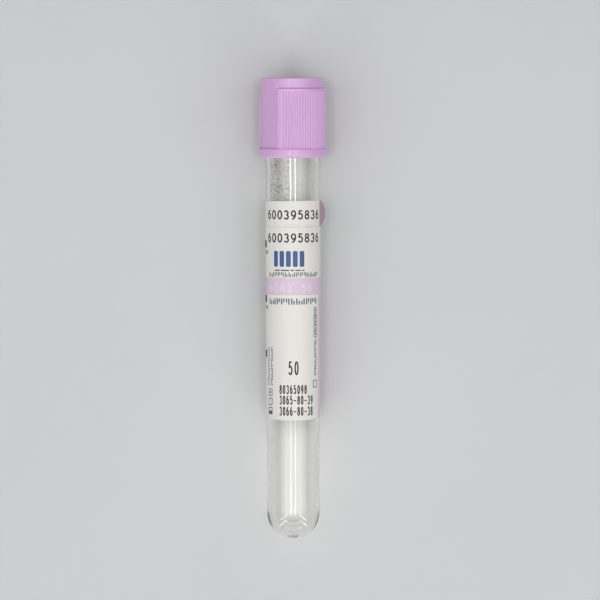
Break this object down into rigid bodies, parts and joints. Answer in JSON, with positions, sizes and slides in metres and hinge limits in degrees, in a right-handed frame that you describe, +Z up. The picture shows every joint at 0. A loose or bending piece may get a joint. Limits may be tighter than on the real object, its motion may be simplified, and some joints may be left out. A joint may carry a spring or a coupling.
{
  "type": "blood collection tube",
  "caption": "Clear evacuated blood collection tube with a round bottom, a paper label and a lavender pull-off closure round a rubber stopper, lying on its side.",
  "frame": {"origin": "on the table under the middle of the resting tube", "axes": "+Y along the tube towards its closure, +Z up, with the front of the label up and its pull tab towards +X; the tube's own axis rises 1.3 degrees towards the closure"},
  "size_m": [0.0164, 0.1102, 0.0166],
  "materials": {
    "clear_pet": "clear moulded PET, polished",
    "butyl_rubber": "grey butyl rubber, matt with a trace of lubricant",
    "lavender_polyethylene": "moulded polyethylene, satin",
    "label_paper": "white coated paper, printed",
    "strip_paper": "white coated paper, printed, with a mauve pull tab"
  },
  "bodies": {
    "tube": {"tube": "clear_pet", "label": "label_paper", "number_strip": "strip_paper"},
    "closure": {"cap": "lavender_polyethylene", "stopper": "butyl_rubber"}
  },
  "joints": [
    {"name": "closure_pull", "type": "slide", "parent": "tube", "child": "closure", "axis": [0, 0.9997, 0.0234], "range_m": [0, 0.02]}
  ]
}
